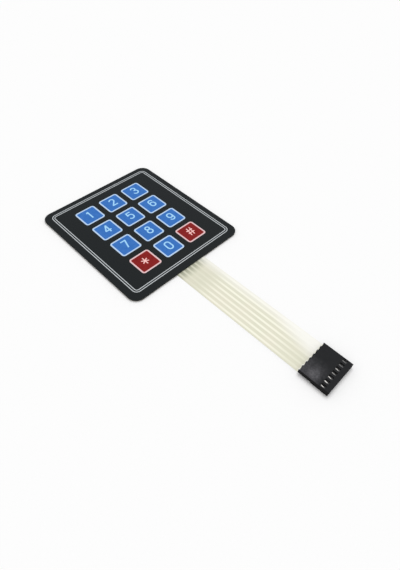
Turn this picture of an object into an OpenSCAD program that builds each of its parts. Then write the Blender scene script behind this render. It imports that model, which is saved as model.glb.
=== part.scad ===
// Twelve-key membrane keypad: a laminated pad of printed films with snap domes inside, and a flat film
// tail that ends in a seven-way crimp socket. The origin is the middle of the pad's back face, X runs
// along a row of keys, Y points away from the tail and Z points up out of the keys.

/* [Pad] */
// Width of the pad along a row of keys
pad_w = 69; // [62:0.5:90]
// Length of the pad along a column of keys
pad_l = 77; // [74:0.5:100]
// Radius of the pad's corners
pad_corner_r = 5; // [2:0.5:8]
// How far the layers under the overlay are cut inside its edge
layer_inset = 0.1; // [0.05:0.05:1.5]

/* [Layers] */
// Thickness of the paper on the mounting adhesive
liner_t = 0.1; // [0.05:0.01:0.2]
// Thickness of the mounting adhesive
rear_adhesive_t = 0.1; // [0.05:0.01:0.2]
// Thickness of the polyester circuit sheet and its tail
film_t = 0.125; // [0.1:0.005:0.2]
// Thickness of the printed silver tracks
silver_t = 0.04; // [0.02:0.005:0.06]
// Thickness of the spacer that makes room for the domes
spacer_t = 0.36; // [0.25:0.01:0.6]
// Thickness of the adhesive under the overlay
overlay_adhesive_t = 0.05; // [0.03:0.01:0.1]
// Thickness of the printed overlay film
overlay_t = 0.225; // [0.125:0.005:0.3]
// Thickness of one pass of ink
ink_t = 0.02; // [0.01:0.005:0.03]

/* [Keys] */
// Distance between the columns of keys
column_pitch = 15; // [14:0.5:17]
// Distance between the rows of keys
row_pitch = 15; // [14:0.5:17]
// Width and length of a key over its white frame
key_w = 11.7; // [10:0.1:13]
// Outer corner radius of the white frame
key_corner_r = 1.5; // [1.2:0.1:3]
// Width of the white frame's line
frame_line = 0.8; // [0.5:0.1:1.1]
// How far the whole print lies to the right of the pad's middle
print_x = 0.3; // [-0.5:0.1:0.5]
// How far the whole print lies above the pad's middle, away from the tail
print_y = 0.5; // [-0.5:0.1:0.5]

/* [Border] */
// Distance from the pad's edge to the outer border line
border_inset = 3.4; // [2:0.05:4.5]
// Width of each border line
border_line = 0.4; // [0.3:0.05:0.7]
// Clear distance between the two border lines
border_gap = 0.7; // [0.5:0.1:1.2]
// Corner radius of the outer border line
border_corner_r = 2.7; // [2.7:0.1:5]

/* [Domes] */
// Radius from a dome's middle to the tips of its feet
dome_r = 5; // [4:0.1:5.5]
// Width of each of a dome's four feet
dome_foot_w = 1.1; // [0.8:0.1:1.6]
// Thickness of the dome's steel
dome_t = 0.06; // [0.04:0.01:0.08]
// Radius of the flat middle of a dome
dome_flat_r = 1; // [0.5:0.1:1.5]
// Clearance round a dome in its spacer hole
dome_clearance = 0.3; // [0.1:0.1:0.6]
// Width of the air channel between the spacer holes
vent_w = 1.2; // [0.8:0.1:2]

/* [Tracks] */
// Width of a printed track
track_w = 1; // [0.6:0.1:1.1]
// Diameter of the printed spot under the middle of a dome
centre_spot_d = 3; // [2:0.1:3.4]
// Width of the printed bars that a dome's feet stand on
foot_bar_w = 1.6; // [1.2:0.1:2]
// Distance from the outermost keys' middles to the nearer side track
side_track_gap = 10; // [6:0.1:12]
// Distance between the middles of two side by side tracks on the pad
lane_pitch = 2.5; // [2:0.1:3]
// Distance from the bottom keys' middles to the first track that turns towards the tail
turn_gap = 6.5; // [5.4:0.1:8]

/* [Tail] */
// Free length of the tail from the pad's edge to the connector
tail_l = 69.6; // [40:0.1:150]
// How far the middle of the tail lies beside the pad's middle line
tail_x = -0.4; // [-4:0.1:4]
// Thickness of the insulating film over the tail's tracks
cover_t = 0.05; // [0.03:0.01:0.08]
// Bare stretch of the tail between its cover film and the connector
cover_end_gap = 0.4; // [0.2:0.1:2]
// How far the tail reaches into the connector
tail_inset = 5.8; // [4.8:0.1:6]

/* [Connector] */
// Distance between the contacts
pitch = 2.54; // [2.4:0.02:3]
// Length of the housing from the tail's side to the mating face
housing_l = 14; // [13.5:0.1:18]
// Height of the housing
housing_h = 2.54; // [2.5:0.01:3]
// Width of the cavity that holds a contact
cavity_w = 1.9; // [1.7:0.05:2.1]
// Thickness of the housing's roof over the cavities
roof_t = 0.42; // [0.3:0.02:0.5]
// Thickness of the front wall with the pin holes
front_wall = 1.6; // [1.2:0.1:1.7]
// Height of the open slot under the rear of the housing, where the film goes in
slot_h = 0.7; // [0.6:0.01:0.76]
// Length of that slot
slot_l = 6.2; // [6.1:0.1:7]
// Length of the notch in the roof at the mouth of each cavity
mouth_notch_l = 0.3; // [0.2:0.1:0.7]
// Width of the window over each contact
window_w = 1.5; // [1:0.1:1.6]
// Length of the window over each contact
window_l = 2; // [1.5:0.1:2.4]
// Distance from the mating face to the middle of the windows
window_from_front = 3.2; // [2.9:0.1:4]
// Width of the square hole that a pin goes through
pin_hole = 0.95; // [0.8:0.05:1]
// Width of the square lead-in at the mating face
lead_in_w = 1.7; // [1.3:0.05:1.8]
// Depth of the lead-in
lead_in_depth = 0.5; // [0.3:0.1:0.8]
// Chamfer along the housing's long edges
housing_chamfer = 0.15; // [0.05:0.05:0.2]

/* [Contacts] */
// Thickness of the contacts' sheet metal
contact_t = 0.18; // [0.15:0.01:0.18]
// Clearance beside and above a contact in its cavity
contact_clearance = 0.15; // [0.1:0.05:0.2]
// Width of the square pin that the contacts take
pin_w = 0.64; // [0.5:0.01:0.64]
// Distance from the tail's side of the housing to the start of the contact's tongue
tongue_start = 0.6; // [0.6:0.1:1]
// Distance from the tail's side of the housing to the start of the contact's box
box_start = 6.4; // [6.2:0.1:7]
// Clearance in front of the contact
contact_end_gap = 0.2; // [0.1:0.1:0.5]
// Width of the spring leaf that presses on the pin
leaf_w = 0.6; // [0.5:0.1:0.8]
// Width of the lance that stands up in the window and locks the contact
lance_w = 0.6; // [0.4:0.05:0.7]
// Clearance of the lance from the window's side and rear edges
lance_gap = 0.1; // [0.05:0.05:0.2]
// How far the lance's tip stays below the top of the housing
lance_below = 0.2; // [0.1:0.05:0.3]
// Length of the strap that closes the rear of the contact's box
strap_l = 1; // [0.8:0.1:1.2]
// Length of each tine along the tail
tine_l = 0.9; // [0.6:0.1:1]
// Distance from the tail's side of the housing to the first pair of tines
tine_start = 1.4; // [1.2:0.1:1.6]
// Distance between the pairs of tines
tine_pitch = 2; // [1.6:0.1:2.2]
// How far a tine is bent in under the film
tine_bend = 0.42; // [0.3:0.02:0.45]

/* [Hidden] */
$fn = 48;
columns = 3;
rows = 4;
ways = columns + rows;
tail_steps = 16;
dome_steps = 5;
// Length by which a tail piece laps the part of it that lies under the pad
root_lap = 2;
// A cut is made longer than its wall by this much
cut = 0.1;

key_names = ["1", "2", "3", "4", "5", "6", "7", "8", "9", "star", "0", "hash"];
row_names = [for (r = [0 : rows - 1]) str("row_track_", r + 1)];
column_names = [for (c = [0 : columns - 1]) str("column_track_", c + 1)];
dome_names = [for (name = key_names) str("dome_", name)];
contact_names = [for (w = [0 : ways - 1]) str("contact_", w + 1)];

// Heights of the layers, from the surface that the pad is stuck to
rear_adhesive_z = liner_t;
film_z = rear_adhesive_z + rear_adhesive_t;
silver_z = film_z + film_t;
spacer_z = silver_z + silver_t;
overlay_adhesive_z = spacer_z + spacer_t;
overlay_z = overlay_adhesive_z + overlay_adhesive_t;
ink_z = overlay_z + overlay_t;

// Outline of the layers under the overlay
layer_w = pad_w - 2 * layer_inset;
layer_l = pad_l - 2 * layer_inset;
layer_corner_r = pad_corner_r - layer_inset;
layer_edge_y = -layer_l / 2;

// Key middles, numbered along the rows from the top left
function key_x(column) = (column - (columns - 1) / 2) * column_pitch;
function key_y(row) = ((rows - 1) / 2 - row) * row_pitch;
function key_at(k) = [key_x(k % columns), key_y(floor(k / columns))];
function is_red(k) = key_names[k] == "star" || key_names[k] == "hash";

// Tail: its film's underside rises on a smooth S from the pad to the slot in the housing
pad_edge_y = -pad_l / 2;
rear_y = pad_edge_y - tail_l;
tail_w = ways * pitch;
tail_seat_z = slot_h - silver_t - film_t;
function tail_y(s) = pad_edge_y - tail_l * s;
function tail_z(s) = film_z + (tail_seat_z - film_z) * s * s * (3 - 2 * s);
function way_x(way) = tail_x + (way - (ways - 1) / 2) * pitch;

// Ways of the tail: half of the rows come in on each side of the columns, the upper row in the outer lane
left_rows = rows / 2;
function row_side(r) = r < left_rows ? -1 : 1;
function row_lane(r) = (r < left_rows ? left_rows : rows) - 1 - r;
function row_way(r) = r < left_rows ? r : ways + left_rows - 1 - r;
function column_way(c) = left_rows + c;
foot_offset = dome_r * cos(45);
dome_across = 2 * dome_r * cos(45 - asin(dome_foot_w / 2 / dome_r));

// Connector heights and widths
cavity_top = housing_h - roof_t;
cavity_l = housing_l - front_wall;
window_mid = housing_l - window_from_front;
contact_w = cavity_w - 2 * contact_clearance;
contact_top = cavity_top - contact_clearance;
contact_end = cavity_l - contact_end_gap;
pin_z = housing_h / 2;
leaf_low = pin_z + pin_w / 2;
tine_x = (contact_w - contact_t) / 2;

module rounded_rect(w, l, r) {
    square([w - 2 * r, l], center = true);
    square([w, l - 2 * r], center = true);
    for (x = [-1, 1], y = [-1, 1])
        translate([x * (w / 2 - r), y * (l / 2 - r)])
            circle(r);
}

module outline_band(w, l, r, line) {
    difference() {
        rounded_rect(w, l, r);
        rounded_rect(w - 2 * line, l - 2 * line, r - line);
    }
}

module layer(z, t) {
    translate([0, 0, z])
        linear_extrude(t)
            rounded_rect(layer_w, layer_l, layer_corner_r);
}

// Straight printed run between two points that share an x or a y, square at its ends
module run(from, to, w) {
    translate([min(from.x, to.x) - w / 2, min(from.y, to.y) - w / 2])
        square([abs(from.x - to.x) + w, abs(from.y - to.y) + w]);
}

// Strip of the tail, from one height to another over its film's underside, seen from the side
module tail_strip(x, w, low, high, start_y, end_y) {
    path = concat(
        [[start_y, film_z]],
        [for (i = [0 : tail_steps]) [tail_y(i / tail_steps), tail_z(i / tail_steps)]],
        [[end_y, tail_seat_z]]);
    last = len(path) - 1;
    lower = [for (p = path) [p.x, p.y + low]];
    upper = [for (i = [last : -1 : 0]) [path[i].x, path[i].y + high]];
    translate([x - w / 2, 0, 0])
        rotate([90, 0, 90])
            linear_extrude(w)
                polygon(concat(lower, upper));
}

// Box in the connector, from one distance to another in front of its rear face
module block(x, w, from, to, low, high) {
    translate([x - w / 2, rear_y - to, low])
        cube([w, to - from, high - low]);
}

module each_tine(way) {
    for (side = [-1, 1], pair = [0, 1])
        translate([way_x(way) + side * tine_x, -tine_start - pair * tine_pitch, 0])
            children();
}

module tine(low, high) {
    block(0, contact_t, 0, tine_l, low, high);
}

// Black film with the printed keys on its face
module graphic_overlay() {
    color("#202224")
        translate([0, 0, overlay_z])
            linear_extrude(overlay_t)
                rounded_rect(pad_w, pad_l, pad_corner_r);
}

module key_field() {
    field_w = key_w - 2 * frame_line;
    rounded_rect(field_w, field_w, key_corner_r - frame_line);
}

// White ink: a frame round each key and the two border lines
module white_print() {
    color("#d7e1f5")
        translate([print_x, print_y, ink_z])
            linear_extrude(ink_t) {
                for (k = [0 : len(key_names) - 1])
                    translate(key_at(k))
                        outline_band(key_w, key_w, key_corner_r, frame_line);
                for (i = [0, 1]) {
                    step = i * (border_line + border_gap);
                    outline_band(
                        pad_w - 2 * (border_inset + step), pad_l - 2 * (border_inset + step),
                        border_corner_r - step, border_line);
                }
            }
}

module key_fields(red) {
    translate([print_x, print_y, ink_z])
        linear_extrude(ink_t)
            for (k = [0 : len(key_names) - 1])
                if (is_red(k) == red)
                    translate(key_at(k))
                        key_field();
}

// Blue ink: the fields of the digit keys
module blue_print() {
    color("#4176bc")
        key_fields(false);
}

// Red ink: the fields of the star and hash keys
module red_print() {
    color("#842a29")
        key_fields(true);
}

// Adhesive film that bonds the overlay and holds the domes down
module overlay_adhesive() {
    color("#3a3c3e")
        layer(overlay_adhesive_z, overlay_adhesive_t);
}

// Film with a hole round each dome, and air channels that join the holes of a column
module spacer() {
    color("#303234")
        translate([0, 0, spacer_z])
            linear_extrude(spacer_t)
                difference() {
                    rounded_rect(layer_w, layer_l, layer_corner_r);
                    for (k = [0 : len(key_names) - 1])
                        translate(key_at(k))
                            circle(dome_r + dome_clearance);
                    for (c = [0 : columns - 1])
                        run([key_x(c), key_y(0)], [key_x(c), key_y(rows - 1)], vent_w);
                }
}

// Height of a dome's underside over its feet: flat in the middle, then a parabola down to the rim
function dome_under(r) =
    let (span = dome_r * dome_r - dome_flat_r * dome_flat_r)
    (spacer_t - dome_t) * (dome_r * dome_r - r * r) / span;

// Snap dome of thin steel: a shallow cap, cut square so that it stands on four feet
module dome(k) {
    rim = [for (i = [0 : dome_steps]) dome_flat_r + (dome_r - dome_flat_r) * i / dome_steps];
    under = concat([[0, dome_under(dome_flat_r)]], [for (r = rim) [r, dome_under(r)]]);
    last = len(under) - 1;
    over = [for (i = [last : -1 : 0]) [under[i].x, under[i].y + dome_t]];
    color("#c8cacc")
        translate(concat(key_at(k), [spacer_z]))
            intersection() {
                rotate_extrude()
                    polygon(concat(under, over));
                translate([-dome_across / 2, -dome_across / 2, -cut])
                    cube([dome_across, dome_across, spacer_t + 2 * cut]);
            }
}

// Polyester sheet with its tail, pierced by the tines of the contacts
module circuit_film() {
    color("#ebe9d4")
        difference() {
            union() {
                layer(film_z, film_t);
                tail_strip(tail_x, tail_w, 0, film_t, layer_edge_y + root_lap, rear_y - tail_inset);
            }
            for (way = [0 : ways - 1])
                each_tine(way)
                    tine(tail_seat_z - cut, tail_seat_z + film_t + cut);
        }
}

module printed(way) {
    color("#b9bcbe") {
        translate([0, 0, silver_z])
            linear_extrude(silver_t)
                children();
        tail_strip(way_x(way), track_w, film_t, film_t + silver_t,
            layer_edge_y + root_lap, rear_y - tail_inset);
    }
}

// Printed row: two bars under the feet of each dome, links between the keys and a lane to the tail
module row_track(r) {
    side = row_side(r);
    way = row_way(r);
    y = key_y(r);
    lane_x = side * (key_x(columns - 1) + side_track_gap + row_lane(r) * lane_pitch);
    turn_y = key_y(rows - 1) - turn_gap - (1 + row_lane(r)) * lane_pitch;
    printed(way) {
        for (c = [0 : columns - 1], bar = [-1, 1]) {
            x = key_x(c) + bar * foot_offset;
            run([x, y - foot_offset], [x, y + foot_offset], foot_bar_w);
        }
        for (c = [0 : columns - 2])
            run([key_x(c) + foot_offset, y], [key_x(c + 1) - foot_offset, y], track_w);
        run([side * (key_x(columns - 1) + foot_offset), y], [lane_x, y], track_w);
        run([lane_x, y], [lane_x, turn_y], track_w);
        run([lane_x, turn_y], [way_x(way), turn_y], track_w);
        run([way_x(way), turn_y], [way_x(way), layer_edge_y + track_w / 2], track_w);
    }
}

// Printed column: a spot under the middle of each dome, strung on one track that ends in the tail
module column_track(c) {
    way = column_way(c);
    turn_y = key_y(rows - 1) - turn_gap;
    printed(way) {
        for (r = [0 : rows - 1])
            translate([key_x(c), key_y(r)])
                circle(d = centre_spot_d);
        run([key_x(c), key_y(0)], [key_x(c), turn_y], track_w);
        run([key_x(c), turn_y], [way_x(way), turn_y], track_w);
        run([way_x(way), turn_y], [way_x(way), layer_edge_y + track_w / 2], track_w);
    }
}

// Cream film laminated over the tail, raised in a ridge over each track
module tail_cover() {
    end_y = rear_y + cover_end_gap;
    color("#f4f2df")
        intersection() {
            difference() {
                union() {
                    tail_strip(tail_x, tail_w, film_t, film_t + cover_t, layer_edge_y, rear_y - cut);
                    for (way = [0 : ways - 1])
                        tail_strip(way_x(way), track_w + 2 * cover_t, film_t, film_t + silver_t + cover_t,
                            layer_edge_y, rear_y - cut);
                }
                for (way = [0 : ways - 1])
                    tail_strip(way_x(way), track_w, film_t - cut, film_t + silver_t,
                        layer_edge_y + cut, rear_y - 2 * cut);
            }
            translate([tail_x - tail_w / 2, end_y, 0])
                cube([tail_w, layer_edge_y - end_y, housing_h]);
        }
}

// Mounting adhesive on the pad's back
module rear_adhesive() {
    color("#3a3c3e")
        layer(rear_adhesive_z, rear_adhesive_t);
}

// Paper that covers the mounting adhesive
module release_liner() {
    color("#f2efe4")
        layer(0, liner_t);
}

// Square lead-in at the mating face, narrowing to the pin hole
module lead_in(x) {
    front_y = rear_y - housing_l;
    mouth = lead_in_w / 2;
    throat = pin_hole / 2;
    profile = [
        [front_y - cut, -mouth], [front_y, -mouth], [front_y + lead_in_depth, -throat],
        [front_y + lead_in_depth, throat], [front_y, mouth], [front_y - cut, mouth]];
    intersection() {
        translate([x - mouth, 0, pin_z])
            rotate([90, 0, 90])
                linear_extrude(lead_in_w)
                    polygon(profile);
        translate([x, 0, pin_z - mouth])
            linear_extrude(lead_in_w)
                polygon([for (p = profile) [p.y, p.x]]);
    }
}

// Moulded housing: full height at the mating end, open underneath at the rear for the film
module connector_housing() {
    half_w = tail_w / 2;
    c = housing_chamfer;
    section = [
        [-half_w + c, 0], [half_w - c, 0], [half_w, c], [half_w, housing_h - c],
        [half_w - c, housing_h], [-half_w + c, housing_h], [-half_w, housing_h - c], [-half_w, c]];
    color("#1c1d1f")
        difference() {
            translate([tail_x, rear_y, 0])
                rotate([90, 0, 0])
                    linear_extrude(housing_l)
                        polygon(section);
            block(tail_x, tail_w + 2 * cut, -cut, slot_l, -cut, slot_h);
            for (way = [0 : ways - 1]) {
                x = way_x(way);
                window_start = window_mid - window_l / 2;
                block(x, cavity_w, -cut, cavity_l, slot_h, cavity_top);
                block(x, cavity_w, -cut, mouth_notch_l, slot_h, housing_h + cut);
                block(x, window_w, window_start, window_start + window_l, slot_h, housing_h + cut);
                block(x, pin_hole, cavity_l - cut, housing_l + cut, pin_z - pin_hole / 2, pin_z + pin_hole / 2);
                lead_in(x);
            }
        }
}

// Stamped contact: a box with a spring leaf for the pin, a lance that rises towards the rear of the window, and
// a tongue whose tines bite through the film
module contact(way) {
    x = way_x(way);
    floor_top = slot_h + contact_t;
    wall_x = (contact_w - contact_t) / 2;
    leaf_start = rear_y - box_start - strap_l / 2;
    leaf_dip = rear_y - window_mid;
    leaf_end = rear_y - contact_end;
    strap_low = contact_top - contact_t;
    lance_root = max(rear_y - window_mid - window_l / 2, leaf_end + contact_t);
    lance_tip = rear_y - window_mid + window_l / 2 - lance_gap;
    lance_top = housing_h - lance_below;
    color("#c9c6bc") {
        block(x, contact_w, tongue_start, contact_end, slot_h, floor_top);
        for (side = [-1, 1])
            block(x + side * wall_x, contact_t, box_start, contact_end, slot_h, contact_top);
        block(x, contact_w, box_start, box_start + strap_l, strap_low, contact_top);
        translate([x - leaf_w / 2, 0, 0])
            rotate([90, 0, 90])
                linear_extrude(leaf_w)
                    polygon([
                        [leaf_start, strap_low], [leaf_dip, leaf_low], [leaf_end, strap_low],
                        [leaf_end, contact_top], [leaf_dip, leaf_low + contact_t], [leaf_start, contact_top]]);
        translate([x - window_w / 2 + lance_gap, 0, 0])
            rotate([90, 0, 90])
                linear_extrude(lance_w)
                    polygon([
                        [leaf_end, strap_low], [lance_root, strap_low], [lance_tip, lance_top - contact_t],
                        [lance_tip, lance_top], [lance_root, contact_top], [leaf_end, contact_top]]);
        each_tine(way)
            tine(tail_seat_z - contact_t, slot_h);
        for (side = [-1, 1], pair = [0, 1]) {
            start = tine_start + pair * tine_pitch;
            block(x + side * (contact_w - tine_bend) / 2, tine_bend, start, start + tine_l,
                tail_seat_z - contact_t, tail_seat_z);
        }
    }
}

graphic_overlay();
white_print();
blue_print();
red_print();
overlay_adhesive();
spacer();
for (k = [0 : len(key_names) - 1])
    dome(k);
circuit_film();
for (r = [0 : rows - 1])
    row_track(r);
for (c = [0 : columns - 1])
    column_track(c);
tail_cover();
rear_adhesive();
release_liner();
connector_housing();
for (way = [0 : ways - 1])
    contact(way);
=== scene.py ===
# Membrane keypad: a laminated pad of printed films, a flat film tail and a seven-way socket. All in metres.
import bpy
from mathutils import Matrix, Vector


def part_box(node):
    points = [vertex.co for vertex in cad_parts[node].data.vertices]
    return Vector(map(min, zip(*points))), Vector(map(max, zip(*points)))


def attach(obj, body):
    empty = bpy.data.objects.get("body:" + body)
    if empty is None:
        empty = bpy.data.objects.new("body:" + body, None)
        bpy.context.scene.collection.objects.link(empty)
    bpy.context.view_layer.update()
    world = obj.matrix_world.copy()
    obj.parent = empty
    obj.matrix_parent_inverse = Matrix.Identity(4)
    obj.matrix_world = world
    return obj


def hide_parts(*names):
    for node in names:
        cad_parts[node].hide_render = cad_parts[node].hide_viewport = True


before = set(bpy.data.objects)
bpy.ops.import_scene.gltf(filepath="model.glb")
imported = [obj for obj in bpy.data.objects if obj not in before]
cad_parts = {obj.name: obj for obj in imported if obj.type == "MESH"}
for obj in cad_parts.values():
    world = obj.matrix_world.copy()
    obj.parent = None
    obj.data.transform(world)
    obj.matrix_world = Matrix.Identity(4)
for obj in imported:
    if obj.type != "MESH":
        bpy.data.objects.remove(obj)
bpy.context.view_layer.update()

import math

import bmesh
import bpy
from mathutils import Matrix, Vector

# Release liner
# The paper that keeps the mounting adhesive clean until the keypad is stuck down. It is smooth-pressed
# pale paper with a silicone face, die-cut with the pad, and it is peeled off from one corner.
MM = 0.001


class Wire:
    """One socket of a material. Sums on wires and numbers add Math nodes, and node() adds any other."""

    def __init__(self, tree, socket=None):
        self.tree = tree
        self.socket = socket

    def node(self, kind, settings, inputs, output=0):
        made = self.tree.nodes.new(kind)
        for name, value in settings.items():
            setattr(made, name, value)
        for name, value in inputs.items():
            if isinstance(value, Wire):
                self.tree.links.new(value.socket, made.inputs[name])
            else:
                made.inputs[name].default_value = value
        return Wire(self.tree, made.outputs[output]) if made.outputs else None

    def maths(self, operation, *values):
        return self.node("ShaderNodeMath", {"operation": operation}, dict(enumerate(values)))

    def axes(self, names):
        """The wires of a point's coordinates along the named axes."""
        return [self.node("ShaderNodeSeparateXYZ", {}, {0: self}, output=axis) for axis in names]

    def __add__(self, other):
        return self.maths("ADD", self, other)

    def __radd__(self, other):
        return self.maths("ADD", other, self)

    def __sub__(self, other):
        return self.maths("SUBTRACT", self, other)

    def __rsub__(self, other):
        return self.maths("SUBTRACT", other, self)

    def __mul__(self, other):
        return self.maths("MULTIPLY", self, other)

    def __rmul__(self, other):
        return self.maths("MULTIPLY", other, self)

    def __truediv__(self, other):
        return self.maths("DIVIDE", self, other)

    def __mod__(self, other):
        return self.maths("WRAP", self, other, 0)

    def __abs__(self):
        return self.maths("ABSOLUTE", self)


def new_finish(name):
    """An empty material and the wire of its object coordinates."""
    finish = bpy.data.materials.new(name)
    finish.use_nodes = True
    finish.node_tree.nodes.clear()
    return finish, Wire(finish.node_tree).node("ShaderNodeTexCoord", {}, {}, output="Object")


def close_finish(place, bump=None, **shader):
    """Joins the shader's sockets, named with _ for a space, and a bump of (height, metres)."""
    inputs = {name.replace("_", " "): value for name, value in shader.items()}
    if bump:
        height, distance = bump
        inputs["Normal"] = place.node("ShaderNodeBump", {}, {"Height": height, "Distance": distance})
    surface = place.node("ShaderNodeBsdfPrincipled", {}, inputs)
    place.node("ShaderNodeOutputMaterial", {}, {"Surface": surface})


def paint(red, green, blue):
    """A colour as a picture shows it, from 0 to 255, made linear for a shader."""
    parts = [value / 255 for value in (red, green, blue)]
    linear = [part / 12.92 if part < 0.04045 else ((part + 0.055) / 1.055) ** 2.4 for part in parts]
    return (*linear, 1)


def grain(place, size, detail=2, stretch=(1, 1, 1)):
    """Noise from 0 to 1 with spots of a size in metres, pulled longer along an axis by its stretch."""
    pulled = place.node("ShaderNodeMapping", {}, {"Vector": place, "Scale": [1 / s for s in stretch]})
    return place.node("ShaderNodeTexNoise", {}, {"Vector": pulled, "Scale": 1 / size, "Detail": detail})


def step(value, low, high):
    """0 below low, 1 above high and smooth between them."""
    return value.node("ShaderNodeMapRange", {"interpolation_type": "SMOOTHSTEP"},
                      {"Value": value, "From Min": low, "From Max": high})


def mix(part, colour, other):
    """A colour that turns into another as part goes from 0 to 1."""
    return part.node("ShaderNodeMix", {"data_type": "RGBA"}, {0: part, 6: colour, 7: other}, output=2)


def dress(finish, *names):
    """Puts a finish on CAD nodes."""
    for name in names:
        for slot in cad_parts[name].material_slots:
            slot.material = finish


liner_paper, place = new_finish("liner_paper")
fibres = grain(place, 0.35 * MM, 3, (6, 1, 1)) + grain(place, 0.3 * MM, 3, (1, 5, 1))
clouds = grain(place, 9 * MM, 3)
close_finish(
    place,
    Base_Color=mix(step(clouds + 0.4 * fibres, 0.6, 1.2), paint(232, 227, 211), paint(239, 235, 222)),
    Roughness=0.42 + 0.15 * clouds,
    bump=(fibres, 0.012 * MM))
dress(liner_paper, "release_liner")

# Adhesive layers
# One transfer adhesive mounts the pad and another holds the overlay down on the domes. Both are thin
# black-tinted acrylic, slightly cloudy at a cut edge, laid on the sheet and die-cut with it.
adhesive, place = new_finish("adhesive")
haze = grain(place, 1.2 * MM, 3)
close_finish(
    place,
    Base_Color=mix(haze, paint(24, 24, 25), paint(44, 44, 44)),
    Roughness=0.3 + 0.2 * haze,
    Specular_IOR_Level=0.15,
    bump=(grain(place, 0.4 * MM), 0.01 * MM))
dress(adhesive, "rear_adhesive", "overlay_adhesive")

# Circuit sheet
# Heat-stabilised polyester, clear with a milky cream cast, cut as one piece with its tail. The silver
# tracks are printed on its top and show from below as grey lines. It is dark inside the pad, and its side
# edges in the socket are painted dark as shade under the housing.
TAIL_LOW, TAIL_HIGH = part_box("tail_cover")
TAIL_MIDDLE = (TAIL_LOW.x + TAIL_HIGH.x) / 2
TAIL_HALF = TAIL_HIGH.x - TAIL_MIDDLE
PITCH = 2.54 * MM
TRACK = 1.0 * MM
PAD_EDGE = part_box("graphic_overlay")[0].y
SOCKET_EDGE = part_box("connector_housing")[1].y


def over_tracks(place, edge):
    """1 over the tail's seven tracks and 0 between them, with a soft edge of that width."""
    across, = place.axes("X")
    pitches = (across - (TAIL_MIDDLE + PITCH / 2)) / PITCH
    from_middle = abs(pitches % 1 - 0.5) * PITCH
    return 1 - step(from_middle, TRACK / 2 - edge / 2, TRACK / 2 + edge / 2)


polyester, place = new_finish("polyester")
shade = over_tracks(place, 0.3 * MM)
milk = grain(place, 5 * MM, 3, (1, 8, 1))
across, along = place.axes("XY")
film = mix(shade * (0.5 + 0.3 * milk), paint(238, 236, 220), paint(190, 188, 174))
in_pad = step(along, PAD_EDGE, PAD_EDGE + 0.1 * MM)
# Painted shade: the film's side edges inside the socket are painted dark, as shade under the housing.
in_socket = 1 - step(along, SOCKET_EDGE - 0.3 * MM, SOCKET_EDGE)
at_side = step(abs(across - TAIL_MIDDLE), TAIL_HALF - 0.4 * MM, TAIL_HALF - 0.2 * MM)
close_finish(
    place,
    Base_Color=mix(in_pad + in_socket * at_side, film, paint(34, 34, 34)),
    Roughness=0.3 + 0.12 * milk,
    Specular_IOR_Level=0.3,
    bump=(grain(place, 0.25 * MM, 2), 0.004 * MM))
dress(polyester, "circuit_film")
# Film this thin lets most light through, so it throws no shadow and no colour on the floor.
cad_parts["circuit_film"].visible_shadow = False
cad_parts["circuit_film"].visible_diffuse = False

# Silver tracks
# Four rows and three columns of polymer silver ink, screen-printed on the sheet and baked. The flakes lie
# flat and leave a dull grey metal with a fine sparkle.
silver_ink, place = new_finish("silver_ink")
flakes = grain(place, 0.08 * MM, 2)
close_finish(
    place,
    Base_Color=mix(flakes, paint(168, 168, 164), paint(206, 206, 202)),
    Metallic=0.55 + 0.4 * flakes,
    Roughness=0.38 + 0.2 * flakes,
    bump=(flakes, 0.006 * MM))
dress(silver_ink, *["row_track_%d" % row for row in (1, 2, 3, 4)])
dress(silver_ink, *["column_track_%d" % column for column in (1, 2, 3)])

# Snap domes
# One under each key: thin stainless steel, stamped to a shallow cap with four feet. The rolling direction
# of the strip shows as fine lines along it.
dome_steel, place = new_finish("dome_steel")
rolled = grain(place, 0.05 * MM, 3, (1, 30, 1))
close_finish(
    place,
    Base_Color=mix(rolled, paint(176, 177, 178), paint(214, 214, 212)),
    Metallic=1.0,
    Roughness=0.2 + 0.18 * rolled,
    bump=(rolled, 0.003 * MM))
KEYS = ("1", "2", "3", "4", "5", "6", "7", "8", "9", "star", "0", "hash")
dress(dome_steel, *["dome_" + key for key in KEYS])

# Spacer
# Dark polyester film with a hole for each dome and air channels between the holes, die-cut and bonded
# between the circuit sheet and the overlay. Only its cut edge shows, under the overlay's rim.
spacer_film, place = new_finish("spacer_film")
cut_marks = grain(place, 0.1 * MM, 2, (1, 1, 20))
close_finish(
    place,
    Base_Color=mix(cut_marks, paint(30, 31, 32), paint(46, 47, 48)),
    Roughness=0.4 + 0.2 * cut_marks,
    bump=(cut_marks, 0.008 * MM))
dress(spacer_film, "spacer")

# Overlay
# The black face of the keypad: polyester film with a fine velvet texture, printed black and die-cut with
# round corners. It is flat and matt, and handling leaves it slightly cloudy.
overlay_film, place = new_finish("overlay_film")
velvet = grain(place, 0.16 * MM, 3)
cloudy = grain(place, 14 * MM, 4)
close_finish(
    place,
    Base_Color=mix(0.6 * velvet + 0.4 * cloudy, paint(13, 17, 19), paint(26, 31, 33)),
    Roughness=0.5 + 0.16 * velvet + 0.1 * cloudy,
    Specular_IOR_Level=0.1,
    bump=(velvet, 0.012 * MM))
dress(overlay_film, "graphic_overlay")

# Coloured inks
# Two screen-print passes: ten blue key fields and two red ones. The ink lies a few hundredths of a
# millimetre proud and keeps the weave of the screen and small differences in its thickness.
SCREEN_PITCH = 0.22 * MM
WAVE_LENGTH = 0.314


def screen_mesh(place):
    """The fine square weave that a printing screen leaves in its ink."""
    # A wave at a scale of 1 is WAVE_LENGTH long.
    scale = WAVE_LENGTH / SCREEN_PITCH
    warp, weft = (
        place.node("ShaderNodeTexWave", {"bands_direction": axis}, {"Vector": place, "Scale": scale})
        for axis in "XY")
    return (warp + weft) * 0.5


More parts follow.
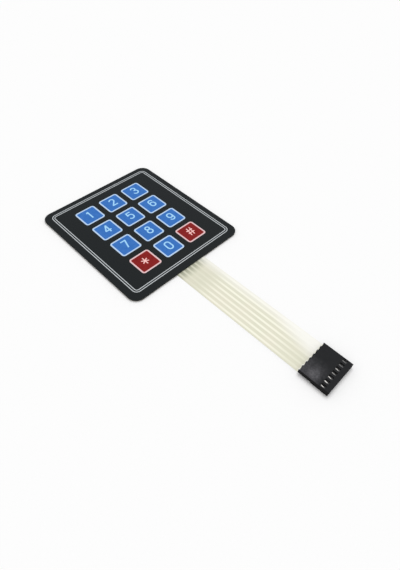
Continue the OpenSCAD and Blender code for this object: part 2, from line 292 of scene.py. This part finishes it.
def ink(name, thin, thick, stain=None):
    """A printed colour, from where its ink is thin to where it is thick, that may take up a stain."""
    finish, place = new_finish(name)
    mesh = screen_mesh(place)
    depth = grain(place, 1.6 * MM, 4)
    colour = mix(step(0.75 * depth + 0.25 * mesh, 0.3, 0.7), thin, thick)
    close_finish(
        place,
        Base_Color=stain(place, colour) if stain else colour,
        Roughness=0.42 + 0.12 * mesh + 0.1 * depth,
        Specular_IOR_Level=0.06,
        bump=(mesh, 0.006 * MM))
    return finish


dress(ink("blue_ink", paint(62, 118, 195), paint(50, 109, 186)), "blue_print")
dress(ink("red_ink", paint(140, 32, 31), paint(126, 22, 23)), "red_print")

# White ink
# The frames round the keys and the two border lines are one print pass: a cool opaque white, a little
# uneven where the black shows through it. A frame also takes up a little of the colour that it holds.
FIELD_LOW, FIELD_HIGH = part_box("blue_print")
FIELD_MIDDLE = (FIELD_LOW + FIELD_HIGH) / 2
COLUMN_PITCH = 15 * MM
ROW_PITCH = 15 * MM
FRAME_INNER = 5.1 * MM
FRAME_OUTER = 5.85 * MM


def stained(place, white):
    """The white with a cast of blue or red in the keys' frames, strongest at a frame's inner edge."""
    across, along = place.axes("XY")
    columns = (across - FIELD_MIDDLE.x) / COLUMN_PITCH
    rows = (along - FIELD_MIDDLE.y) / ROW_PITCH
    aside = abs(columns)
    # Three columns reach 1.5 pitches to each side and four rows 2. The signs are at the lowest row's ends.
    on_keys = (1 - step(aside, 1.5, 1.6)) * (1 - step(abs(rows), 2.0, 2.1))
    on_signs = (1 - step(rows, -1.05, -0.95)) * step(aside, 0.45, 0.55)
    beside_key = abs((columns + 0.5) % 1 - 0.5) * COLUMN_PITCH
    above_key = abs(rows % 1 - 0.5) * ROW_PITCH
    outer = step(beside_key.maths("MAXIMUM", beside_key, above_key), FRAME_INNER, FRAME_OUTER)
    cast = mix(on_signs, paint(184, 215, 250), paint(238, 194, 196))
    return mix(on_keys * (1 - 0.45 * outer), white, cast)


dress(ink("white_ink", paint(190, 196, 199), paint(204, 209, 212), stained), "white_print")

# Digits and signs
# Each key has one character in white ink, printed over the field, whose colour shows through it a little.
# A pen draws them in millimetres, as runs and arcs of even width, with corners on a fine grid so that two
# strokes along one line meet exactly. The strokes of a character are joined in one solid.
STROKE = 0.76
SIGN_STROKE = 0.58
INK_DEPTH = 0.015
ARC_STEP = 9
GRID = 1e-4
GRID_PLACES = 4


def stroke(start, heading, moves, width=STROKE):
    """A pen stroke: a number in moves is a straight run, and a pair is an arc's radius and angle."""
    sheet = bmesh.new()
    along = Vector((math.cos(math.radians(heading)), math.sin(math.radians(heading)), 0))
    across = Vector((-along.y, along.x, 0)) * width / 2
    middle = Vector((*start, 0))
    nib = sheet.edges.new([sheet.verts.new(middle - across), sheet.verts.new(middle + across)])
    for move in moves:
        if isinstance(move, tuple):
            radius, turn = move
            middle = (nib.verts[0].co + nib.verts[1].co) / 2
            centre = middle + Vector((-along.y, along.x, 0)) * math.copysign(radius, turn)
            made = bmesh.ops.spin(
                sheet, geom=[nib, *nib.verts], cent=centre, axis=(0, 0, 1), angle=math.radians(turn),
                steps=max(2, round(abs(turn) / ARC_STEP)), use_merge=False,
                use_duplicate=False)["geom_last"]
            nib = next(piece for piece in made if isinstance(piece, bmesh.types.BMEdge))
            along = Matrix.Rotation(math.radians(turn), 3, "Z") @ along
        else:
            made = bmesh.ops.extrude_edge_only(sheet, edges=[nib])["geom"]
            ends = [piece for piece in made if isinstance(piece, bmesh.types.BMVert)]
            bmesh.ops.translate(sheet, verts=ends, vec=along * move)
            nib = next(piece for piece in made
                       if isinstance(piece, bmesh.types.BMEdge) and set(piece.verts) == set(ends))
    bmesh.ops.remove_doubles(sheet, verts=sheet.verts, dist=GRID)
    for corner in sheet.verts:
        corner.co = [round(value, GRID_PLACES) for value in corner.co]
    raised = bmesh.ops.extrude_face_region(sheet, geom=sheet.faces[:])["geom"]
    top = [piece for piece in raised if isinstance(piece, bmesh.types.BMVert)]
    bmesh.ops.translate(sheet, verts=top, vec=(0, 0, INK_DEPTH))
    bmesh.ops.recalc_face_normals(sheet, faces=sheet.faces)
    mesh = bpy.data.meshes.new("stroke")
    sheet.to_mesh(mesh)
    sheet.free()
    drawn = bpy.data.objects.new("stroke", mesh)
    bpy.context.scene.collection.objects.link(drawn)
    return drawn


def character(name, strokes, at, finish, turned=False):
    """Joins overlapping strokes in one solid, in metres, with its middle at a point."""
    first, *others = strokes
    if others:
        group = bpy.data.collections.new(name + "_strokes")
        for other in others:
            group.objects.link(other)
        join = first.modifiers.new("join", "BOOLEAN")
        join.operation = "UNION"
        join.solver = "EXACT"
        join.operand_type = "COLLECTION"
        join.collection = group
        join.use_self = True
    mesh = bpy.data.meshes.new_from_object(first.evaluated_get(bpy.context.evaluated_depsgraph_get()))
    mesh.name = name
    for drawn in strokes:
        bpy.data.objects.remove(drawn)
    if others:
        bpy.data.collections.remove(group)
    if turned:
        mesh.transform(Matrix.Rotation(math.pi, 4, "Z"))
    mesh.transform(Matrix.Translation(at) @ Matrix.Scale(MM, 4))
    mesh.materials.clear()
    mesh.materials.append(finish)
    piece = bpy.data.objects.new(name, mesh)
    bpy.context.scene.collection.objects.link(piece)
    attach(piece, "root")


def six():
    """The loop and the hooked stem of a six, which is also a nine when it is turned."""
    return [
        stroke((1.36, -1.14), 90, [0.45, (1.36, 180), 0.45, (1.36, 180)]),
        stroke((-1.36, -0.9), 90, [2.04, (1.36, -165)])]


CHARACTERS = {
    "1": [stroke((-0.03, -3.0), 90, [5.6]), stroke((-1.08, 1.55), 39, [1.4])],
    "2": [stroke((-1.311, 1.492), 80, [(1.28, -210), 3.717]), stroke((-1.78, -2.4), 0, [3.35])],
    "3": [stroke((-1.259, 1.661), 75, [(1.2, -255), 0.4]), stroke((-0.5, 0.17), 0, [0.45, (1.4, -260)])],
    "4": [stroke((0.6, -2.9), 90, [5.6]), stroke((-1.84, -1.35), 0, [3.57]),
          stroke((-1.45, -1.05), 60.7, [4.1])],
    "5": [stroke((-1.38, 2.52), 0, [2.9]), stroke((-0.98, 2.52), -95.8, [2.4]),
          stroke((-1.111, 0.282), 50, [(1.45, -140), 0.4, (1.45, -155)])],
    "6": six(),
    "7": [stroke((-1.5, 2.4), 0, [3.1]), stroke((1.25, 2.3), -106.8, [5.29])],
    "8": [stroke((0, 2.5), 180, [(1.1, 360)]), stroke((0, 0.3), 180, [(1.4, 360)])],
    "9": six(),
    "star": [
        stroke((-reach * math.cos(turn), -reach * math.sin(turn)), math.degrees(turn), [2 * reach],
               SIGN_STROKE)
        for turn, reach in ((math.pi / 6, 1.92), (math.pi / 2, 2.2), (math.pi * 5 / 6, 1.92))],
    "0": [stroke((1.45, -1.12), 90, [2.24, (1.45, 180), 2.24, (1.45, 180)])],
    "hash": [stroke((-1.9, y), 0, [3.8], SIGN_STROKE) for y in (-0.85, 0.95)]
    + [stroke((x - 0.47, -2.67), 80, [5.43], SIGN_STROKE) for x in (-0.87, 0.87)],
}
OFF_MIDDLE = {
    "1": (0.3, 0.55), "2": (0.3, 0.55), "3": (0.25, 0.55),
    "4": (0.3, 0.68), "5": (0.3, 0.68), "6": (0.4, 0.68),
    "7": (0.3, 0.57), "8": (0.37, 0.57), "9": (0.5, 0.6),
    "star": (0.02, 0.33), "0": (0.3, 0.3), "hash": (0.3, 0.3)}
over_blue = ink("white_over_blue", paint(158, 211, 250), paint(170, 221, 254))
over_red = ink("white_over_red", paint(250, 194, 190), paint(254, 206, 202))
for number, key in enumerate(KEYS):
    row, column = divmod(number, 3)
    up = FIELD_HIGH.z - FIELD_MIDDLE.z
    from_middle = Vector(((column - 1) * COLUMN_PITCH, (1.5 - row) * ROW_PITCH, up))
    middle = FIELD_MIDDLE + from_middle + Vector((*OFF_MIDDLE[key], 0)) * MM
    finish = over_red if key in ("star", "hash") else over_blue
    character("character_" + key, CHARACTERS[key], middle, finish, turned=key == "9")

# Tail cover
# A cream insulating film, laminated with heat over the tail's tracks, which it hugs as soft pale ridges. It
# rises on a long S from the pad to the slot in the socket. Painted shade from the pad darkens it between its
# lines at the pad's edge, a painted highlight whitens its right side, further across near the socket, and its
# lines are painted fainter near the pad and near the socket.
COVER_DEPTH = 0.05 * MM
RIDGE = 0.04 * MM
RIDGE_FOOT = 0.35 * MM
COVER_SIDE_STEPS = 210
COVER_LONG_STEPS = 32
SHARP = math.radians(30)
# Where the lines are painted fainter as painted light: about 8 mm from the pad, and near the socket.
FADE_AT_PAD = PAD_EDGE - 8 * MM
FADE_AT_SOCKET = TAIL_LOW.y + 3 * MM
# How far from the pad's edge the painted shade reaches: between the lines, and the faint broad shade.
DARK_AT_PAD = 6 * MM
DIM_AT_PAD = 24 * MM
# Painted highlight on the cover's right side: where it starts and is full, and how it slants further across
# near the socket.
GLARE_LOW = 2 * MM
GLARE_HIGH = 10.5 * MM
GLARE_TURN = PAD_EDGE - 46.5 * MM
GLARE_SLANT = 0.26


def smooth(part):
    """0 to 1 with level ends, as part goes from 0 to 1 and past them."""
    part = min(max(part, 0), 1)
    return part * part * (3 - 2 * part)


def ridge(x):
    """How far the cover stands up over the nearest track."""
    from_middle = abs((x - TAIL_MIDDLE + PITCH / 2) % PITCH - PITCH / 2)
    return RIDGE * (1 - smooth((from_middle - TRACK / 2) / RIDGE_FOOT))


cover = bmesh.new()
bmesh.ops.create_grid(cover, x_segments=COVER_SIDE_STEPS, y_segments=COVER_LONG_STEPS, size=0.5)
bmesh.ops.scale(cover, verts=cover.verts, vec=(TAIL_HIGH.x - TAIL_LOW.x, TAIL_HIGH.y - TAIL_LOW.y, 1))
halfway = (TAIL_LOW.y + TAIL_HIGH.y) / 2
bmesh.ops.translate(cover, verts=cover.verts, vec=(TAIL_MIDDLE, halfway, TAIL_LOW.z))
rise = TAIL_HIGH.z - TAIL_LOW.z - COVER_DEPTH - RIDGE
for corner in cover.verts:
    run = (PAD_EDGE - corner.co.y) / (PAD_EDGE - SOCKET_EDGE)
    corner.co.z += rise * smooth(run) + ridge(corner.co.x)
raised = bmesh.ops.extrude_face_region(cover, geom=cover.faces[:])["geom"]
top = [piece for piece in raised if isinstance(piece, bmesh.types.BMVert)]
bmesh.ops.translate(cover, verts=top, vec=(0, 0, COVER_DEPTH))
bmesh.ops.recalc_face_normals(cover, faces=cover.faces)
for face in cover.faces:
    face.smooth = True
for edge in cover.edges:
    edge.smooth = edge.calc_face_angle() < SHARP
cover_mesh = bpy.data.meshes.new("ridged_cover")
cover.to_mesh(cover_mesh)
cover.free()

cover_film, place = new_finish("cover_film")
across, along = place.axes("XY")
streaks = grain(place, 1.4 * MM, 3, (0.5, 14, 1))
tint = grain(place, 11 * MM, 2)
# Painted light: the lines are painted fainter about 8 mm from the pad and near the socket.
faint_lines_at_pad = 1 - step(abs(along - FADE_AT_PAD), 2 * MM, 12 * MM)
faint_lines_at_socket = 1 - step(along, FADE_AT_SOCKET, FADE_AT_SOCKET + 15 * MM)
lines = over_tracks(place, 0.7 * MM) * (0.75 + 0.4 * streaks)
lines_with_painted_light = lines * (1 - 0.7 * faint_lines_at_pad) * (1 - 0.6 * faint_lines_at_socket)
cream = mix(lines_with_painted_light, paint(218, 217, 195), paint(246, 245, 226))
tinted = mix(step(tint, 0.35, 0.75) * 0.25, cream, paint(236, 225, 209))
# Painted shade from the pad: dark between the lines at the pad's edge, and a faint broad darkening further
# out.
between = 1 - 0.6 * over_tracks(place, 0.6 * MM)
pad_shadow = step(along, PAD_EDGE - DARK_AT_PAD, PAD_EDGE - 0.5 * MM) * between
broad_pad_shade = step(along, PAD_EDGE - DIM_AT_PAD, PAD_EDGE - 4 * MM)
with_pad_shade = mix(0.1 * broad_pad_shade + 0.9 * pad_shadow, tinted, paint(160, 162, 140))
# Painted highlight: the right side is whitened, reaching further across near the socket.
slant = GLARE_SLANT * along.maths("MAXIMUM", GLARE_TURN - along, 0)
painted_glare = step(across + slant, GLARE_LOW, GLARE_HIGH)
close_finish(
    place,
    Base_Color=mix(0.9 * painted_glare, with_pad_shade, paint(248, 247, 241)),
    Roughness=0.34 + 0.14 * streaks,
    Specular_IOR_Level=0.3,
    bump=(grain(place, 0.3 * MM, 2), 0.006 * MM))
cover_mesh.materials.append(cover_film)
ridged_cover = bpy.data.objects.new("ridged_cover", cover_mesh)
bpy.context.scene.collection.objects.link(ridged_cover)
ridged_cover.visible_shadow = False
ridged_cover.visible_diffuse = False
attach(ridged_cover, "root")
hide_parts("tail_cover")

# Connector housing
# One black glass-filled nylon moulding that holds the seven contacts and clamps the film. Its top is
# finely grained from the mould. Its sides are painted darker than its top as shade, and a ragged painted
# sheen lies on the top's left towards the film, with one paler spot of painted highlight.
HOUSING_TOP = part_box("connector_housing")[1].z
MOULDED_EDGE = 0.05 * MM
MERGE = 0.0005 * MM
LEVEL = math.radians(1)
# Where the painted sheen lies on the top, and the spot of painted highlight.
SHEEN_FRONT = -119 * MM
SHEEN_SIDE = 1.8 * MM
SHEEN_SPOT = Vector((-6.4, -113.6, 2.54)) * MM
housing_plastic, place = new_finish("housing_plastic")
fine = grain(place, 0.12 * MM, 3)
flow = grain(place, 2.2 * MM, 4)
sheen_breakup = grain(place, 0.7 * MM, 4)
across, along, height = place.axes("XYZ")
on_top = step(height, HOUSING_TOP - 0.1 * MM, HOUSING_TOP - 0.02 * MM)
ragged = (flow - 0.5) * 5 * MM
# Painted sheen: a ragged pale patch on the top's left, and a paler spot of painted highlight, broken up by
# noise.
behind = step(along + ragged, SHEEN_FRONT, SHEEN_FRONT + 5 * MM)
beside = 1 - step(across + ragged, SHEEN_SIDE - 7.5 * MM, SHEEN_SIDE)
from_spot = place.node(
    "ShaderNodeVectorMath", {"operation": "DISTANCE"}, {0: place, 1: SHEEN_SPOT}, output="Value")
sheen_spot = 1 - step(from_spot + 0.4 * ragged, 1.2 * MM, 3 * MM)
painted_sheen = 0.44 * behind * beside + 0.44 * sheen_spot
# Painted shade: the sides are darker than the top.
top_and_shaded_sides = mix(on_top, paint(20, 20, 21), paint(30, 31, 33))
close_finish(
    place,
    Base_Color=mix(on_top * painted_sheen * (0.5 + 0.5 * step(sheen_breakup, 0.3, 0.7)), top_and_shaded_sides, paint(100, 99, 103)),
    Roughness=0.4 + 0.2 * flow + 0.1 * fine,
    Specular_IOR_Level=0.07,
    bump=(fine, 0.014 * MM))
moulding = bmesh.new()
moulding.from_mesh(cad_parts["connector_housing"].data)
bmesh.ops.remove_doubles(moulding, verts=moulding.verts, dist=MERGE)
bmesh.ops.dissolve_limit(moulding, angle_limit=LEVEL, verts=moulding.verts, edges=moulding.edges)
outer_edges = [edge for edge in moulding.edges if edge.is_convex and edge.calc_face_angle() > SHARP]
bmesh.ops.bevel(
    moulding, geom=outer_edges, offset=MOULDED_EDGE, affect="EDGES", segments=2, profile=0.5, material=-1,
    clamp_overlap=True)
housing_mesh = bpy.data.meshes.new("moulded_housing")
moulding.to_mesh(housing_mesh)
moulding.free()
housing_mesh.materials.append(housing_plastic)
moulded_housing = bpy.data.objects.new("moulded_housing", housing_mesh)
bpy.context.scene.collection.objects.link(moulded_housing)
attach(moulded_housing, "root")
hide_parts("connector_housing")

# Contacts
# Seven stamped and tinned bronze contacts: a box with a spring leaf for the pin, and a tongue whose tines
# are crimped through the film. Their tin is bright at the crimp and at each lance's tip, and painted a dull
# grey elsewhere as shade in the box, which on some covers more of the lance.
LANCE_ROOT = 2.06 * MM
LANCE_SHADED = 0.42 * MM
CRIMP_FRONT = -116.5 * MM
MIDDLE_WAY = 3
# For each contact: how far the painted shade covers its lance, and the grey of the painted shade in its box.
CONTACT_SHADE = ((0.35, 68), (0.1, 74), (0.3, 74), (0.65, 72), (0.45, 78), (0.92, 88), (0.92, 88))


def tinned(way, lance_shade, grey):
    """One contact's metal: bright tin at the crimp and the lance's tip, elsewhere painted shade in grey."""
    finish, place = new_finish("contact_metal_%d" % (way + 1))
    drawn_lines = grain(place, 0.06 * MM, 3, (1, 18, 1))
    dull = grain(place, 0.9 * MM, 3)
    across, along, height = place.axes("XYZ")
    shaded = TAIL_MIDDLE + (way - MIDDLE_WAY) * PITCH - LANCE_SHADED
    lance_lit = step(height, LANCE_ROOT, LANCE_ROOT + 0.06 * MM) * step(across, shaded, shaded + 0.1 * MM)
    crimped = step(along, CRIMP_FRONT, CRIMP_FRONT + 1 * MM)
    # Painted shade: the metal is a dull grey except at the crimp and on the lit part of each lance's tip.
    bright = along.maths("MAXIMUM", (1 - lance_shade) * lance_lit, crimped)
    tin = mix(dull, paint(236, 234, 230), paint(206, 203, 198))
    close_finish(
        place,
        Base_Color=mix(bright, paint(grey, grey, grey), tin),
        Metallic=0.2 + 0.8 * bright,
        Roughness=0.24 + 0.14 * drawn_lines + 0.14 * dull + 0.2 * (1 - bright),
        bump=(drawn_lines, 0.004 * MM))
    return finish


for way, (lance_shade, grey) in enumerate(CONTACT_SHADE):
    dress(tinned(way, lance_shade, grey), "contact_%d" % (way + 1))

# Floor
# A wide sheet of white card that the keypad lies on, matt and nearly without texture. It is no part of the
# object and only takes its shadow.
FLOOR_HALF = 3.0
floor_card, place = new_finish("floor_card")
tooth = grain(place, 0.8 * MM, 3)
close_finish(
    place,
    Base_Color=mix(tooth, paint(252, 252, 252), paint(254, 254, 254)),
    Roughness=0.9,
    Specular_IOR_Level=0.0)
card = bmesh.new()
bmesh.ops.create_grid(card, x_segments=1, y_segments=1, size=FLOOR_HALF)
floor_mesh = bpy.data.meshes.new("floor")
card.to_mesh(floor_mesh)
card.free()
floor_mesh.materials.append(floor_card)
floor = bpy.data.objects.new("floor", floor_mesh)
bpy.context.scene.collection.objects.link(floor)

# Light
# A white tent all round and one large soft lamp, high up on the right and a little behind the pad, so that
# the shadows are short and fall to the left and the near side.
SKY_LEVEL = 0.6
world = bpy.data.worlds.new("tent")
world.use_nodes = True
bpy.context.scene.world = world
world.node_tree.nodes.clear()
seen, glossy, passing = (
    Wire(world.node_tree).node("ShaderNodeLightPath", {}, {}, output=name)
    for name in ("Is Camera Ray", "Is Glossy Ray", "Is Transmission Ray"))
shown = seen.maths("MAXIMUM", seen, seen.maths("MAXIMUM", glossy, passing))
strength = SKY_LEVEL + (1 - SKY_LEVEL) * shown
tent = seen.node("ShaderNodeBackground", {}, {"Color": (1, 1, 1, 1), "Strength": strength})
seen.node("ShaderNodeOutputWorld", {}, {"Surface": tent})

LAMP_LEVEL = 0.4
LAMP_HEIGHT = math.radians(65)
LAMP_HEADING = math.radians(60)
LAMP_SPREAD = math.radians(40)
lamp = bpy.data.lights.new("soft_lamp", "SUN")
lamp.angle = LAMP_SPREAD
lamp.energy = LAMP_LEVEL * math.pi / math.sin(LAMP_HEIGHT)
lamp_holder = bpy.data.objects.new("soft_lamp", lamp)
lamp_holder.matrix_world = (
    Matrix.Rotation(-LAMP_HEADING, 4, "Z") @ Matrix.Rotation(-(math.pi / 2 - LAMP_HEIGHT), 4, "X"))
bpy.context.scene.collection.objects.link(lamp_holder)

# Camera
# It looks down on the pad's lower left corner from the side of the tail, as the photograph does. Its place,
# angles and lens are fitted to the edges of the pad, the keys and the socket.
CAMERA_PLACE = Vector((-93.13, -131.16, 145.19)) * MM
CAMERA_HEADING = math.radians(47.14)
CAMERA_TILT = math.radians(50.55)
CAMERA_ROLL = math.radians(2.85)
CAMERA_LENS = 25.692
camera = bpy.data.cameras.new("camera")
camera.sensor_width = 36
camera.lens = CAMERA_LENS
camera.clip_start = 0.01
camera.clip_end = 20
tripod = bpy.data.objects.new("camera", camera)
tripod.matrix_world = (
    Matrix.Translation(CAMERA_PLACE) @ Matrix.Rotation(-CAMERA_HEADING, 4, "Z")
    @ Matrix.Rotation(math.pi / 2 - CAMERA_TILT, 4, "X") @ Matrix.Rotation(CAMERA_ROLL, 4, "Z"))
bpy.context.scene.collection.objects.link(tripod)
bpy.context.scene.camera = tripod
bpy.context.scene.view_settings.view_transform = "Standard"
